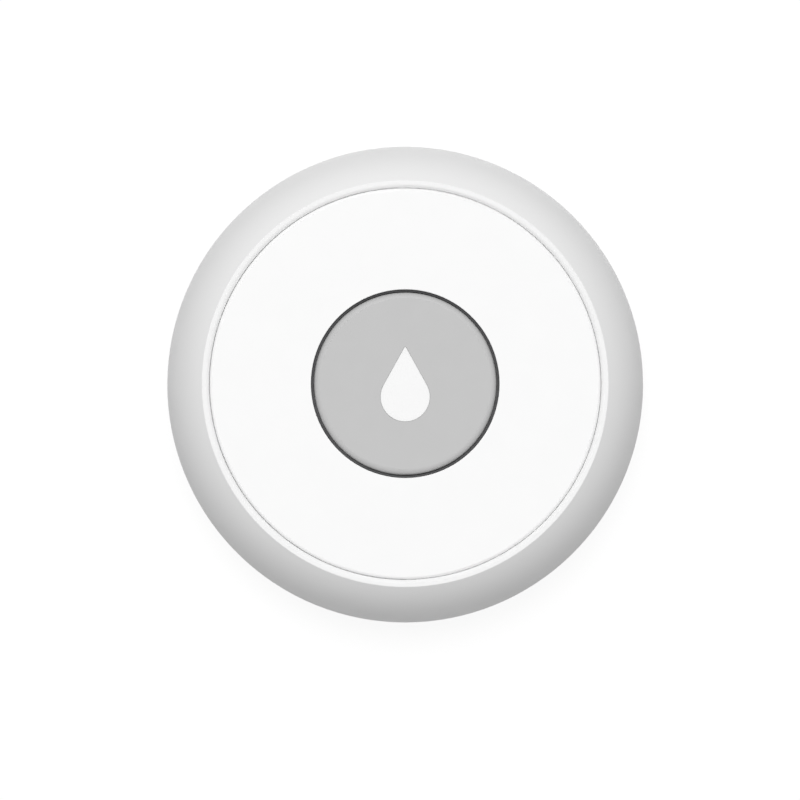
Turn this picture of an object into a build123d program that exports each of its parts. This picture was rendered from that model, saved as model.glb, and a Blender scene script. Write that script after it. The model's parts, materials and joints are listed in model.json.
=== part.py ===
from build123d import *

import os
from math import asin, atan2, cos, degrees, radians, sin

# Water leak sensor: a round puck that lies on the floor on four metal probe feet.
# A top shell and a base shell meet at a gasketed lip and are drawn together by four screws.
# A face plate lies in the top shell, with a sprung push button in its middle.
# A coin cell sits in a well in the base, behind a cover that unscrews with a coin.
# +Z is up, out of the face, and +Y is the way that the drop on the button points.
# The origin is in the floor plane, under the middle of the puck. Lengths are in millimetres.

os.makedirs("parts", exist_ok=True)

STAND = (Align.CENTER, Align.CENTER, Align.MIN)
HANG = (Align.CENTER, Align.CENTER, Align.MAX)

# Driving dimensions across the puck
body_diameter = 65.0
wall = 2.0
rim_width = 4.8
land_width = 1.0
face_gap = 0.04
button_hole_diameter = 25.7
button_gap = 0.4
cell_diameter = 24.5

# Driving dimensions of the stack, from the floor up
foot_height = 1.5
cover_flange_thickness = 1.5
cover_web_thickness = 0.8
cell_thickness = 5.0
contact_room = 1.0
board_thickness = 1.0
switch_height = 2.4
plunger_rise = 0.6
membrane_thickness = 0.6
button_travel = 0.6
cap_flange_thickness = 0.7
seal_flange_thickness = 0.4
face_thickness = 1.5
deck_thickness = 1.4

# Driving dimensions of the outer form
base_height = 6.0
base_straight = 0.5
top_straight = 1.0
crease_tilt = 45
base_flank_width = 4.5
base_floor = 1.8

# Clearances
seat_gap = 0.05
running_gap = 0.15
part_gap = 0.1
overrun = 1.0

# Heights worked out from the stack
underside_z = foot_height
cover_top_z = underside_z + cover_flange_thickness
cell_z = cover_top_z + cover_web_thickness
cell_top_z = cell_z + cell_thickness
board_z = cell_top_z + contact_room
board_top_z = board_z + board_thickness
switch_top_z = board_top_z + switch_height
membrane_z = switch_top_z + plunger_rise
membrane_top_z = membrane_z + membrane_thickness
cap_foot_z = membrane_top_z + button_travel + seat_gap
cap_flange_z = cap_foot_z + cap_flange_thickness
seal_z = cap_flange_z + seat_gap
deck_z = seal_z + seal_flange_thickness
face_z = deck_z + face_thickness
deck_under_z = deck_z - deck_thickness
part_z = underside_z + base_height
seat_z = cover_top_z + seat_gap

# Radii worked out from the widths
body_radius = body_diameter / 2
inner_radius = body_radius - wall
crease_radius = body_radius - rim_width
recess_radius = crease_radius - land_width
plate_radius = recess_radius - face_gap
hole_radius = button_hole_diameter / 2
cap_radius = hole_radius - button_gap
flat_radius = body_radius - base_flank_width
cell_radius = cell_diameter / 2

# Shell lip and gasket
lip_height = 1.4
lip_thickness = 0.85
gasket_thickness = 0.6
shadow_chamfer = 0.25
lip_radius = inner_radius + lip_thickness
lip_top_z = part_z + lip_height
gasket_top_z = lip_top_z + gasket_thickness

# Button well in the top shell
well_wall = 1.2
well_floor_thickness = 1.2
clamp_width = 1.4
cap_flange_width = 0.95
clamp_gap = 0.65
membrane_edge_gap = 0.4
well_opening_radius = 12.0
cap_flange_radius = cap_radius + cap_flange_width
clamp_inner_radius = cap_flange_radius + clamp_gap
clamp_outer_radius = clamp_inner_radius + clamp_width
membrane_radius = clamp_outer_radius + running_gap
well_radius = membrane_radius + membrane_edge_gap
well_outer_radius = well_radius + well_wall

# Case screws, their bosses and posts
screw_count = 4
screw_head_diameter = 4.8
screw_head_height = 1.5
screw_shank_diameter = 2.4
screw_sunk = 0.4
screw_post_grip = 2.8
screw_head_gap = 0.2
boss_wall = 1.8
post_radius = 2.6
screw_head_radius = screw_head_diameter / 2
screw_shank_radius = screw_shank_diameter / 2
screw_pocket_radius = screw_head_radius + screw_head_gap
screw_seat_z = underside_z + screw_sunk + screw_head_height
screw_tip_z = board_top_z + screw_post_grip
boss_radius = screw_shank_radius + boss_wall

# Battery cover and the well that it closes
plug_wall = 1.0
plug_wall_height = 1.0
cell_gap = 0.35
thread_room = 0.6
cover_edge_gap = 0.3
cover_shoulder = 2.0
well_shell_wall = 1.6
cell_well_gap = 0.5
cell_well_short = 0.6
plug_inner_radius = cell_radius + cell_gap
plug_radius = plug_inner_radius + plug_wall
bore_radius = plug_radius + thread_room
cover_seat_radius = bore_radius + cover_shoulder + cover_edge_gap
cover_radius = cover_seat_radius - cover_edge_gap
plug_top_z = cell_z + plug_wall_height
bore_top_z = plug_top_z + running_gap
cell_well_radius = cell_radius + cell_well_gap
cell_well_outer_radius = cell_well_radius + well_shell_wall
cell_well_top_z = board_z - cell_well_short
seat_ring_radius = cover_seat_radius + well_shell_wall
seat_ring_top_z = seat_z + well_shell_wall

# Screw circle: the share of the room round the cover seat that stays outside the pockets
screw_edge_share = 1 / 7
screw_room = flat_radius - cover_seat_radius - 2 * screw_pocket_radius
screw_circle_radius = flat_radius - screw_pocket_radius - screw_room * screw_edge_share

# Probe feet
probe_count = 4
probe_head_diameter = 6.0
probe_shank_diameter = 2.5
probe_flat_diameter = 3.6
probe_ring_section = 0.8
probe_boss_radius = 3.4
probe_boss_height = 1.7
nut_height = 2.0
nut_flats = 5.0
probe_stub = 0.4
probe_head_radius = probe_head_diameter / 2
probe_shank_radius = probe_shank_diameter / 2
probe_flat_radius = probe_flat_diameter / 2
probe_circle_radius = (cover_seat_radius + flat_radius) / 2
probe_pocket_radius = probe_shank_radius + part_gap + probe_ring_section + part_gap
floor_top_z = underside_z + base_floor
probe_boss_top_z = floor_top_z + probe_boss_height
nut_top_z = probe_boss_top_z + nut_height
probe_tip_z = nut_top_z + probe_stub
probe_start_angle = 180 / probe_count

# Face plate hooks
hook_count = 4
hook_width = 5.0
hook_thickness = 1.2
hook_nose = 0.6
hook_drop = 0.9
hook_setback = 0.4
hook_start_angle = 22.5
hook_radius = (well_outer_radius + recess_radius) / 2 - hook_setback

# Drop mark and its light guide
drop_bulb_radius = 3.36
drop_height = 10.3
drop_tip_round = 0.15
guide_flange_radius = 5.9
guide_flange_thickness = 0.8
guide_stem_radius = 2.5
cap_top_thickness = 1.5
cap_sink = 0.1
cap_z = face_z - cap_sink
cap_ceiling_z = cap_z - cap_top_thickness

# Flank curve of the top shell: an arc from the widest edge to the crease, and its lining
# The tilt of the surface's normal from vertical grows from crease_tilt to edge_tilt
top_flank_z = part_z + top_straight
mean_tilt = degrees(atan2(face_z - top_flank_z, rim_width))
edge_tilt = 2 * mean_tilt - crease_tilt
flank_sweep = edge_tilt - crease_tilt
flank_radius = rim_width / (sin(radians(edge_tilt)) - sin(radians(crease_tilt)))
flank_centre_x = crease_radius - flank_radius * sin(radians(crease_tilt))
flank_centre_z = face_z - flank_radius * cos(radians(crease_tilt))
lining_radius = flank_radius - wall
lining_low_angle = degrees(asin((gasket_top_z - flank_centre_z) / lining_radius))
lining_high_angle = degrees(asin((deck_under_z - flank_centre_z) / lining_radius))


# Top shell: domed rim, flat land, sunk deck for the face plate and a well for the button
land_round = 0.55
crease_round = 0.12
edge_round = 1.2
pilot_gap = 0.05
post_rib_thickness = 1.0
post_rib_gap = 1.7
post_rib_share = 0.6
slot_gap = 0.2
well_rib_count = 12
well_rib_angle = 15
well_rib_thickness = 0.8
well_rib_gap = 0.4
well_rib_height = 0.8
well_rib_start = well_radius + well_wall / 2
well_rib_length = hook_radius - hook_thickness / 2 - well_rib_start - well_rib_gap
step_radius = lip_radius + running_gap
post_root_z = deck_z - deck_thickness / 2
post_height = post_root_z - board_top_z

with BuildPart() as top_shell:
    with BuildSketch(Plane.XZ):
        with BuildLine():
            flank = CenterArc(
                (flank_centre_x, flank_centre_z), flank_radius,
                start_angle=90 - edge_tilt, arc_size=flank_sweep,
            )
            lining = CenterArc(
                (flank_centre_x, flank_centre_z), lining_radius,
                start_angle=lining_low_angle, arc_size=lining_high_angle - lining_low_angle,
            )
            Polyline(
                flank @ 1,
                (recess_radius, face_z),
                (recess_radius, deck_z),
                (well_radius, deck_z),
                (well_radius, membrane_z),
                (well_opening_radius, membrane_z),
                (well_opening_radius, membrane_z - well_floor_thickness),
                (well_outer_radius, membrane_z - well_floor_thickness),
                (well_outer_radius, deck_under_z),
                lining @ 1,
            )
            Polyline(
                lining @ 0,
                (step_radius, gasket_top_z),
                (step_radius, part_z),
                (body_radius, part_z),
                flank @ 0,
            )
        make_face()
    revolve(axis=Axis.Z)
    rims = top_shell.edges().group_by(Axis.Z)[-1].sort_by(SortBy.RADIUS)
    fillet(rims[0], land_round)
    fillet(rims[-1], crease_round)
    widest = top_shell.edges().filter_by_position(Axis.Z, top_flank_z - seat_gap, top_flank_z + seat_gap)
    fillet(widest, edge_round)
    chamfer(top_shell.edges().group_by(Axis.Z)[0].sort_by(SortBy.RADIUS)[-1], shadow_chamfer)
    with Locations(Plane.XY.offset(post_root_z)):
        with PolarLocations(screw_circle_radius, screw_count):
            Cylinder(post_radius, post_height, align=HANG)
            Box(
                screw_circle_radius - well_outer_radius - post_rib_gap, post_rib_thickness,
                post_height * post_rib_share,
                align=(Align.MAX, Align.CENTER, Align.MAX),
            )
        with PolarLocations(well_rib_start, well_rib_count, start_angle=well_rib_angle):
            Box(
                well_rib_length, well_rib_thickness, post_root_z - deck_under_z + well_rib_height,
                align=(Align.MIN, Align.CENTER, Align.MAX),
            )
    with Locations(Plane.XY.offset(board_top_z)):
        with PolarLocations(screw_circle_radius, screw_count):
            Cylinder(
                screw_shank_radius + pilot_gap, screw_post_grip + overrun,
                align=STAND, mode=Mode.SUBTRACT,
            )
    with Locations(Plane.XY.offset(deck_z + overrun)):
        with PolarLocations(hook_radius, hook_count, start_angle=hook_start_angle):
            with Locations(((part_gap - hook_nose) / 2, 0)):
                Box(
                    hook_thickness + hook_nose + part_gap, hook_width + 2 * slot_gap,
                    deck_thickness + 2 * overrun, align=HANG, mode=Mode.SUBTRACT,
                )
top_shell.part.label = "top_shell"
export_step(top_shell.part, "parts/top_shell.step")


# Base shell: rounded pan with the cell well, the cover seat, screw bosses and probe bosses
floor_rib_count = 8
floor_rib_thickness = 1.0
floor_rib_height = 1.6
floor_rib_angle = 22.5
base_flank_z = part_z - base_straight
base_flank_rise = base_flank_z - underside_z
lining_width = base_flank_width - wall
lining_rise = base_flank_z - floor_top_z

with BuildPart() as base_shell:
    with BuildSketch(Plane.XZ):
        with BuildLine():
            keel = EllipticalCenterArc(
                (flat_radius, base_flank_z), base_flank_width, base_flank_rise,
                start_angle=270, arc_size=90,
            )
            pan = EllipticalCenterArc(
                (flat_radius, base_flank_z), lining_width, lining_rise,
                start_angle=270, arc_size=90,
            )
            Polyline(
                keel @ 1,
                (body_radius, part_z),
                (lip_radius, part_z),
                (lip_radius, lip_top_z),
                (inner_radius, lip_top_z),
                pan @ 1,
            )
            Polyline(
                pan @ 0,
                (seat_ring_radius, floor_top_z),
                (seat_ring_radius, seat_ring_top_z),
                (cell_well_outer_radius, bore_top_z + well_shell_wall),
                (cell_well_outer_radius, cell_well_top_z),
                (cell_well_radius, cell_well_top_z),
                (cell_well_radius, bore_top_z),
                (bore_radius, bore_top_z),
                (bore_radius, seat_z),
                (cover_seat_radius, seat_z),
                (cover_seat_radius, underside_z),
                keel @ 0,
            )
        make_face()
    revolve(axis=Axis.Z)
    seam = base_shell.edges().filter_by_position(Axis.Z, part_z - seat_gap, part_z + seat_gap)
    chamfer(seam.sort_by(SortBy.RADIUS)[-1], shadow_chamfer)
    with Locations(Plane.XY.offset(underside_z + base_floor / 2)):
        with PolarLocations(screw_circle_radius, screw_count):
            Cylinder(boss_radius, board_z - underside_z - base_floor / 2, align=STAND)
        with PolarLocations(probe_circle_radius, probe_count, start_angle=probe_start_angle):
            Cylinder(probe_boss_radius, base_floor / 2 + probe_boss_height, align=STAND)
        with PolarLocations(seat_ring_radius - seat_gap, floor_rib_count, start_angle=floor_rib_angle):
            Box(
                flat_radius - seat_ring_radius, floor_rib_thickness, base_floor / 2 + floor_rib_height,
                align=(Align.MIN, Align.CENTER, Align.MIN),
            )
    with Locations(Plane.XY.offset(probe_boss_top_z)):
        with PolarLocations(probe_circle_radius, probe_count, start_angle=probe_start_angle):
            Cylinder(probe_boss_radius, nut_height, align=STAND, mode=Mode.SUBTRACT)
    with Locations(Plane.XY.offset(underside_z)):
        with PolarLocations(screw_circle_radius, screw_count):
            Cylinder(
                screw_pocket_radius, screw_sunk + screw_head_height,
                align=STAND, mode=Mode.SUBTRACT,
            )
            Cylinder(
                screw_shank_radius + part_gap, board_z, align=STAND, mode=Mode.SUBTRACT,
            )
        Cylinder(cover_seat_radius, seat_z - underside_z, align=STAND, mode=Mode.SUBTRACT)
        with PolarLocations(probe_circle_radius, probe_count, start_angle=probe_start_angle):
            Cylinder(probe_pocket_radius, probe_ring_section, align=STAND, mode=Mode.SUBTRACT)
            Cylinder(
                probe_shank_radius + part_gap, board_z, align=STAND, mode=Mode.SUBTRACT,
            )
base_shell.part.label = "base_shell"
export_step(base_shell.part, "parts/base_shell.step")


# Case gasket: flat ring squeezed between the lip and the step in the top shell
with BuildPart() as case_gasket:
    with BuildSketch(Plane.XY.offset(lip_top_z)):
        Circle(lip_radius)
        Circle(inner_radius, mode=Mode.SUBTRACT)
    extrude(amount=gasket_thickness)
case_gasket.part.label = "case_gasket"
export_step(case_gasket.part, "parts/case_gasket.step")


# Case screws: pan heads sunk in the underside
head_chamfer = 0.4

with BuildPart() as case_screws:
    with Locations(Plane.XY.offset(screw_seat_z)):
        with PolarLocations(screw_circle_radius, screw_count):
            Cylinder(screw_head_radius, screw_head_height, align=HANG)
            Cylinder(screw_shank_radius, screw_tip_z - screw_seat_z, align=STAND)
    chamfer(case_screws.edges().group_by(Axis.Z)[0], head_chamfer)
    chamfer(case_screws.edges().group_by(Axis.Z)[-1], head_chamfer)
case_screws.part.label = "case_screws"
export_step(case_screws.part, "parts/case_screws.step")


# Face plate: round lid over the deck, with the button hole, a clamp rib and four hooks
plate_round = 0.4
hole_round = 0.1

with BuildPart() as hook:
    with BuildSketch(Plane.XZ):
        with BuildLine():
            Polyline(
                (hook_radius - hook_thickness / 2, deck_z),
                (hook_radius - hook_thickness / 2, deck_under_z - hook_drop),
                (hook_radius + hook_thickness / 2, deck_under_z - hook_drop),
                (hook_radius + hook_thickness / 2 + hook_nose, deck_under_z - hook_drop / 2),
                (hook_radius + hook_thickness / 2 + hook_nose, deck_under_z - seat_gap),
                (hook_radius + hook_thickness / 2, deck_under_z - seat_gap),
                (hook_radius + hook_thickness / 2, deck_z),
                close=True,
            )
        make_face()
    extrude(amount=hook_width / 2, both=True)

with BuildPart() as face_plate:
    with BuildSketch(Plane.XY.offset(deck_z)):
        Circle(plate_radius)
        Circle(hole_radius, mode=Mode.SUBTRACT)
    extrude(amount=face_thickness)
    brims = face_plate.edges().group_by(Axis.Z)[-1].sort_by(SortBy.RADIUS)
    fillet(brims[-1], plate_round)
    fillet(brims[0], hole_round)
    with BuildSketch(Plane.XY.offset(deck_z)):
        Circle(clamp_outer_radius)
        Circle(clamp_inner_radius, mode=Mode.SUBTRACT)
    extrude(amount=membrane_top_z - deck_z)
    with PolarLocations(0, hook_count, start_angle=hook_start_angle):
        add(hook.part)
face_plate.part.label = "face_plate"
export_step(face_plate.part, "parts/face_plate.step")


# Drop outline: a round bulb under two tangent sides that meet at the tip
drop_bulb_y = drop_bulb_radius - drop_height / 2
drop_tip_y = drop_height / 2
drop_side_angle = degrees(asin(drop_bulb_radius / (drop_tip_y - drop_bulb_y)))
drop_touch_x = drop_bulb_radius * cos(radians(drop_side_angle))
drop_touch_y = drop_bulb_y + drop_bulb_radius * sin(radians(drop_side_angle))
guide_gap = 0.03

with BuildSketch() as drop:
    with BuildLine():
        Polyline((drop_touch_x, drop_touch_y), (0, drop_tip_y), (-drop_touch_x, drop_touch_y))
        ThreePointArc(
            (-drop_touch_x, drop_touch_y),
            (0, drop_bulb_y - drop_bulb_radius),
            (drop_touch_x, drop_touch_y),
        )
    make_face()
    fillet(drop.vertices().sort_by(Axis.Y)[-1], drop_tip_round)


# Button cap: shallow cup with a rounded edge, a stop flange, stiffening ribs and a press pin
cap_round = 0.8
skirt_wall = 1.2
cap_rib_count = 6
cap_rib_thickness = 0.8
cap_rib_height = 0.9
cap_rib_angle = 90
press_pin_radius = 1.2
switch_offset = 8.0
skirt_inner_radius = cap_radius - skirt_wall
rib_inner_radius = guide_flange_radius + running_gap

with BuildPart() as button_cap:
    with BuildSketch(Plane.XY.offset(cap_foot_z)):
        Circle(cap_radius)
    extrude(amount=cap_z - cap_foot_z)
    fillet(button_cap.edges().group_by(Axis.Z)[-1], cap_round)
    with BuildSketch(Plane.XY.offset(cap_foot_z)):
        Circle(cap_flange_radius)
    extrude(amount=cap_flange_thickness)
    with BuildSketch(Plane.XY.offset(cap_foot_z)):
        Circle(skirt_inner_radius)
    extrude(amount=cap_ceiling_z - cap_foot_z, mode=Mode.SUBTRACT)
    with Locations(Plane.XY.offset(cap_ceiling_z)):
        with PolarLocations(rib_inner_radius, cap_rib_count, start_angle=cap_rib_angle):
            Box(
                skirt_inner_radius + seat_gap - rib_inner_radius, cap_rib_thickness, cap_rib_height,
                align=(Align.MIN, Align.CENTER, Align.MAX),
            )
        with Locations((0, -switch_offset)):
            Cylinder(press_pin_radius, cap_ceiling_z - membrane_top_z, align=HANG)
    with BuildSketch(Plane.XY.offset(cap_ceiling_z)):
        add(drop.sketch)
        offset(amount=guide_gap)
    extrude(amount=cap_top_thickness + overrun, mode=Mode.SUBTRACT)
button_cap.part.label = "button_cap"
export_step(button_cap.part, "parts/button_cap.step")


# Drop lens: clear white light guide, the drop on top and a stem down to the lamp
lamp_height = 0.8
lamp_gap = 0.3
guide_foot_z = board_top_z + lamp_height + button_travel + lamp_gap

with BuildPart() as drop_lens:
    with BuildSketch(Plane.XY.offset(cap_ceiling_z)):
        add(drop.sketch)
    extrude(amount=cap_top_thickness)
    with Locations(Plane.XY.offset(cap_ceiling_z)):
        Cylinder(guide_flange_radius, guide_flange_thickness, align=HANG)
        Cylinder(guide_stem_radius, cap_ceiling_z - guide_foot_z, align=HANG)
drop_lens.part.label = "drop_lens"
export_step(drop_lens.part, "parts/drop_lens.step")


# Button seal: dark rubber ring whose lip stands in the gap round the cap
seal_lip_thickness = 0.25
seal_lip_sink = 0.55
seal_flange_margin = 0.4
seal_lip_radius = hole_radius - seat_gap
seal_bore_radius = seal_lip_radius - seal_lip_thickness

with BuildPart() as button_seal:
    with BuildSketch(Plane.XY.offset(seal_z)):
        Circle(clamp_inner_radius - seal_flange_margin)
        Circle(seal_bore_radius, mode=Mode.SUBTRACT)
    extrude(amount=seal_flange_thickness)
    with BuildSketch(Plane.XY.offset(seal_z)):
        Circle(seal_lip_radius)
        Circle(seal_bore_radius, mode=Mode.SUBTRACT)
    extrude(amount=face_z - seal_lip_sink - seal_z)
button_seal.part.label = "button_seal"
export_step(button_seal.part, "parts/button_seal.step")


# Button membrane: silicone sheet clamped in the well, with a springy bead under the cap
bead_width = 0.9
bead_outer_radius = cap_radius - running_gap
collar_wall = 0.8
collar_height = 0.25
membrane_hole_radius = guide_stem_radius + running_gap

with BuildPart() as button_membrane:
    with BuildSketch(Plane.XZ):
        with BuildLine():
            Polyline(
                (membrane_hole_radius, membrane_z),
                (membrane_hole_radius, membrane_top_z + collar_height),
                (membrane_hole_radius + collar_wall, membrane_top_z + collar_height),
                (membrane_hole_radius + collar_wall, membrane_top_z),
                (bead_outer_radius - bead_width, membrane_top_z),
            )
            bead = Spline(
                (bead_outer_radius - bead_width, membrane_top_z),
                (bead_outer_radius - bead_width / 2, cap_foot_z),
                (bead_outer_radius, membrane_top_z),
                tangents=((0, 1), (0, -1)),
            )
            Polyline(
                bead @ 1,
                (membrane_radius, membrane_top_z),
                (membrane_radius, membrane_z),
                (membrane_hole_radius, membrane_z),
            )
        make_face()
    revolve(axis=Axis.Z)
button_membrane.part.label = "button_membrane"
export_step(button_membrane.part, "parts/button_membrane.step")


# Battery cover: flanged plug with a coin slot below and a dish for the cell above
coin_slot_length = 18.0
coin_slot_width = 2.2
coin_slot_depth = 1.2
cover_round = 0.3
ring_section = 0.84
ring_side_gap = 0.28
cover_ring_radius = bore_radius + cover_shoulder / 2
ring_groove_width = ring_section + 2 * ring_side_gap
ring_groove_depth = ring_section - seat_gap

with BuildPart() as battery_cover:
    with BuildSketch(Plane.XZ):
        with BuildLine():
            Polyline(
                (0, underside_z),
                (cover_radius, underside_z),
                (cover_radius, cover_top_z),
                (cover_ring_radius + ring_groove_width / 2, cover_top_z),
                (cover_ring_radius + ring_groove_width / 2, cover_top_z - ring_groove_depth),
                (cover_ring_radius - ring_groove_width / 2, cover_top_z - ring_groove_depth),
                (cover_ring_radius - ring_groove_width / 2, cover_top_z),
                (plug_radius, cover_top_z),
                (plug_radius, plug_top_z),
                (plug_inner_radius, plug_top_z),
                (plug_inner_radius, cell_z),
                (0, cell_z),
                close=True,
            )
        make_face()
    revolve(axis=Axis.Z)
    fillet(battery_cover.edges().group_by(Axis.Z)[0], cover_round)
    with BuildSketch(Plane.XY.offset(underside_z)):
        SlotOverall(coin_slot_length, coin_slot_width)
    extrude(amount=coin_slot_depth, mode=Mode.SUBTRACT)
battery_cover.part.label = "battery_cover"
export_step(battery_cover.part, "parts/battery_cover.step")


# Battery cover seal: round rubber ring in the groove of the cover
with BuildPart() as battery_cover_seal:
    with Locations((0, 0, cover_top_z - ring_groove_depth + ring_section / 2)):
        Torus(cover_ring_radius, ring_section / 2)
battery_cover_seal.part.label = "battery_cover_seal"
export_step(battery_cover_seal.part, "parts/battery_cover_seal.step")


# Coin cell: steel can with its flat side down, powder core, nylon grommet and raised cap
cell_sheet = 0.3
cell_crimp = 0.9
cell_fit = 0.03
cap_plate_rise = 0.3
grommet_wall = 0.35
cell_skirt = 1.5
cell_round = 0.25
can_top_z = cell_top_z - cap_plate_rise
crimp_z = can_top_z - cell_sheet
cap_rim_z = crimp_z - grommet_wall
core_top_z = cap_rim_z - cell_skirt
can_inner_radius = cell_radius - cell_sheet
crimp_radius = cell_radius - cell_crimp
grommet_outer_radius = can_inner_radius - cell_fit
grommet_inner_radius = grommet_outer_radius - grommet_wall
grommet_lip_radius = crimp_radius - cell_fit
grommet_mouth_radius = grommet_lip_radius - grommet_wall
cap_skirt_radius = grommet_inner_radius - cell_fit
cap_plate_radius = grommet_mouth_radius - cell_fit

with BuildPart() as coin_cell_can:
    with BuildSketch(Plane.XZ):
        with BuildLine():
            Polyline(
                (0, cell_z),
                (cell_radius, cell_z),
                (cell_radius, can_top_z),
                (crimp_radius, can_top_z),
                (crimp_radius, crimp_z),
                (can_inner_radius, crimp_z),
                (can_inner_radius, cell_z + cell_sheet),
                (0, cell_z + cell_sheet),
                close=True,
            )
        make_face()
    revolve(axis=Axis.Z)
    fillet(coin_cell_can.edges().group_by(Axis.Z)[0], cell_round)
    fillet(coin_cell_can.edges().group_by(Axis.Z)[-1].sort_by(SortBy.RADIUS)[-1], cell_round)
coin_cell_can.part.label = "coin_cell_can"
export_step(coin_cell_can.part, "parts/coin_cell_can.step")

with BuildPart() as coin_cell_core:
    with BuildSketch(Plane.XZ):
        with BuildLine():
            Polyline(
                (0, cell_z + cell_sheet),
                (can_inner_radius - cell_fit, cell_z + cell_sheet),
                (can_inner_radius - cell_fit, core_top_z),
                (cap_skirt_radius - cell_sheet - cell_fit, core_top_z),
                (cap_skirt_radius - cell_sheet - cell_fit, cap_rim_z - cell_sheet),
                (cap_plate_radius - cell_sheet - cell_fit, cap_rim_z - cell_sheet),
                (cap_plate_radius - cell_sheet - cell_fit, cell_top_z - cell_sheet),
                (0, cell_top_z - cell_sheet),
                close=True,
            )
        make_face()
    revolve(axis=Axis.Z)
coin_cell_core.part.label = "coin_cell_core"
export_step(coin_cell_core.part, "parts/coin_cell_core.step")

with BuildPart() as coin_cell_grommet:
    with BuildSketch(Plane.XZ):
        with BuildLine():
            Polyline(
                (grommet_inner_radius, core_top_z),
                (grommet_outer_radius, core_top_z),
                (grommet_outer_radius, crimp_z),
                (grommet_lip_radius, crimp_z),
                (grommet_lip_radius, can_top_z),
                (grommet_mouth_radius, can_top_z),
                (grommet_mouth_radius, cap_rim_z),
                (grommet_inner_radius, cap_rim_z),
                close=True,
            )
        make_face()
    revolve(axis=Axis.Z)
coin_cell_grommet.part.label = "coin_cell_grommet"
export_step(coin_cell_grommet.part, "parts/coin_cell_grommet.step")

with BuildPart() as coin_cell_cap:
    with BuildSketch(Plane.XZ):
        with BuildLine():
            Polyline(
                (0, cell_top_z - cell_sheet),
                (cap_plate_radius - cell_sheet, cell_top_z - cell_sheet),
                (cap_plate_radius - cell_sheet, cap_rim_z - cell_sheet),
                (cap_skirt_radius - cell_sheet, cap_rim_z - cell_sheet),
                (cap_skirt_radius - cell_sheet, core_top_z),
                (cap_skirt_radius, core_top_z),
                (cap_skirt_radius, cap_rim_z),
                (cap_plate_radius, cap_rim_z),
                (cap_plate_radius, cell_top_z),
                (0, cell_top_z),
                close=True,
            )
        make_face()
    revolve(axis=Axis.Z)
    fillet(coin_cell_cap.edges().group_by(Axis.Z)[-1], cell_round)
coin_cell_cap.part.label = "coin_cell_cap"
export_step(coin_cell_cap.part, "parts/coin_cell_cap.step")


# Battery contacts: bent spring strips under the board
strip = 0.25
strip_width = 4.5
positive_foot = 3.2
positive_reach = 3.6
negative_hub_radius = 3.0
negative_finger_count = 3
negative_finger_width = 2.2
negative_finger_reach = 5.0
negative_tip = 1.2
negative_start_angle = 90
leg_radius = cell_radius + seat_gap + strip / 2
strip_z = board_z - strip / 2
finger_z = cell_top_z + seat_gap + strip / 2

with BuildPart() as positive_contact:
    with BuildSketch(Plane.XZ):
        with BuildLine():
            Polyline(
                (-leg_radius - positive_foot, strip_z),
                (-leg_radius, strip_z),
                (-leg_radius, strip_z - positive_reach),
            )
        trace(line_width=strip)
    extrude(amount=strip_width / 2, both=True)
positive_contact.part.label = "positive_contact"
export_step(positive_contact.part, "parts/positive_contact.step")

with BuildPart() as contact_finger:
    with BuildSketch(Plane.XZ):
        with BuildLine():
            Polyline(
                (negative_hub_radius / 2, strip_z),
                (negative_hub_radius, strip_z),
                (negative_hub_radius + negative_finger_reach, finger_z),
                (negative_hub_radius + negative_finger_reach + negative_tip, finger_z + strip),
            )
        trace(line_width=strip)
    extrude(amount=negative_finger_width / 2, both=True)

with BuildPart() as negative_contact:
    with Locations(Plane.XY.offset(board_z)):
        Cylinder(negative_hub_radius, strip, align=HANG)
    with PolarLocations(0, negative_finger_count, start_angle=negative_start_angle):
        add(contact_finger.part)
negative_contact.part.label = "negative_contact"
export_step(negative_contact.part, "parts/negative_contact.step")


# Circuit board: round board with screw holes and two flats for the assembly jig
board_edge_gap = 2.0
board_flat_depth = 1.0
board_radius = inner_radius - board_edge_gap

with BuildPart() as circuit_board:
    with BuildSketch(Plane.XY.offset(board_z)):
        Circle(board_radius)
        with PolarLocations(screw_circle_radius, screw_count):
            Circle(screw_shank_radius + part_gap, mode=Mode.SUBTRACT)
        with PolarLocations(board_radius, 2, start_angle=hook_start_angle):
            Rectangle(2 * board_flat_depth, 2 * hook_width, mode=Mode.SUBTRACT)
    extrude(amount=board_thickness)
circuit_board.part.label = "circuit_board"
export_step(circuit_board.part, "parts/circuit_board.step")


# Push switch under the press pin: moulded base, steel frame, terminals and a moving plunger
switch_width = 6.0
frame_thickness = 0.3
switch_well_radius = 2.2
switch_well_floor = 0.5
plunger_radius = 1.6
plunger_flange = 0.45
plunger_flange_drop = 0.05
terminal_width = 0.7
terminal_length = 1.2
terminal_thickness = 0.2
terminal_spread = 4.5
switch_base_height = switch_height - frame_thickness

with BuildPart() as switch_base:
    with Locations((0, -switch_offset, board_top_z)):
        Box(switch_width, switch_width, switch_base_height, align=STAND)
    chamfer(switch_base.edges().filter_by(Axis.Z), frame_thickness)
    with Locations((0, -switch_offset, board_top_z + switch_well_floor)):
        Cylinder(switch_well_radius, switch_height, align=STAND, mode=Mode.SUBTRACT)
switch_base.part.label = "switch_base"
export_step(switch_base.part, "parts/switch_base.step")

with BuildPart() as switch_frame:
    with Locations((0, -switch_offset, board_top_z + switch_base_height)):
        Box(switch_width, switch_width, frame_thickness, align=STAND)
        Cylinder(
            plunger_radius + part_gap, frame_thickness, align=STAND, mode=Mode.SUBTRACT,
        )
switch_frame.part.label = "switch_frame"
export_step(switch_frame.part, "parts/switch_frame.step")

with BuildPart() as switch_plunger:
    with Locations((0, -switch_offset, membrane_z)):
        Cylinder(plunger_radius, plunger_rise + frame_thickness + plunger_flange, align=HANG)
    with Locations((0, -switch_offset, board_top_z + switch_base_height - plunger_flange_drop)):
        Cylinder(switch_well_radius - part_gap, plunger_flange, align=HANG)
switch_plunger.part.label = "switch_plunger"
export_step(switch_plunger.part, "parts/switch_plunger.step")

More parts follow.
